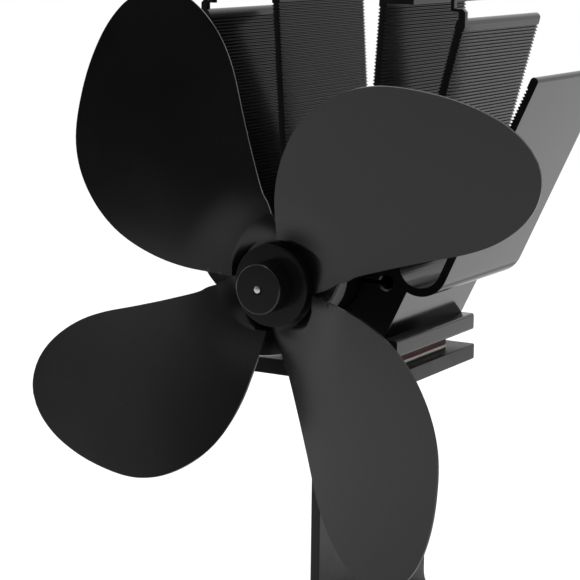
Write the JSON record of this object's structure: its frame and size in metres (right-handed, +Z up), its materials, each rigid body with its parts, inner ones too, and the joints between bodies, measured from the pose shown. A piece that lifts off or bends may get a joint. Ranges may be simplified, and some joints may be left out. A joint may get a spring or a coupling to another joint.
{
  "type": "stove fan",
  "caption": "Heat-powered stove fan: twisted blades on a small motor held in a tall ribbed heat sink, clamped over a thermoelectric module on a web stand with a flat foot.",
  "frame": {"origin": "centre of the foot's underside, on the surface that the fan stands on", "axes": "+Z up, -Y to the front, where the blades face and blow, +X to the right as seen from the front"},
  "size_m": [0.1624, 0.1189, 0.2012],
  "materials": {
    "black_casting": "satin heat-proof paint",
    "black_anodised": "satin black anodised",
    "blade_paint": "matt black paint",
    "hub_metal": "satin black anodised, turned",
    "plain_steel": "plain bright steel",
    "screw_steel": "plain steel",
    "core_steel": "stacked sheet",
    "sintered_bronze": "matt sintered bronze",
    "copper": "copper",
    "ferrite": "matt dark grey",
    "thermal_pad": "matt",
    "white_ceramic": "matt white ceramic",
    "couple_blocks": "dark grey",
    "seal_rubber": "red-brown silicone",
    "fibre_board": "matt pale fibre",
    "cap_plastic": "matt black",
    "red_lead": "silicone cover",
    "black_lead": "silicone cover"
  },
  "bodies": {
    "stand": {"base_stand": "black_casting", "hot_pad": "thermal_pad", "cold_pad": "thermal_pad", "teg_hot_plate": "white_ceramic", "teg_cold_plate": "white_ceramic", "teg_couples": "couple_blocks", "teg_seal": "seal_rubber", "heat_sink": "black_anodised", "clamp_screw_1": "screw_steel", "clamp_screw_2": "screw_steel", "clamp_screw_3": "screw_steel", "clamp_screw_4": "screw_steel", "clamp_washer_1": "fibre_board", "clamp_washer_2": "fibre_board", "clamp_washer_3": "fibre_board", "clamp_washer_4": "fibre_board", "motor_can": "plain_steel", "motor_end_cap": "cap_plastic", "motor_set_screw": "screw_steel", "rear_cover": "black_casting", "cover_screw_left": "screw_steel", "cover_screw_right": "screw_steel", "magnet_left": "ferrite", "magnet_right": "ferrite", "bush_front": "sintered_bronze", "bush_rear": "sintered_bronze", "brush_left": "copper", "brush_right": "copper", "lead_red": "red_lead", "lead_black": "black_lead"},
    "fan": {"motor_shaft": "plain_steel", "armature_core": "core_steel", "coil_1": "copper", "coil_2": "copper", "coil_3": "copper", "commutator": "copper", "fan_hub": "hub_metal", "hub_washer": "hub_metal", "fan_blades": "blade_paint"}
  },
  "joints": [
    {"name": "fan_spin", "type": "hinge", "parent": "stand", "child": "fan", "pos_m": [0, 0, 0.12], "axis": [0, 1, 0], "continuous": true}
  ]
}
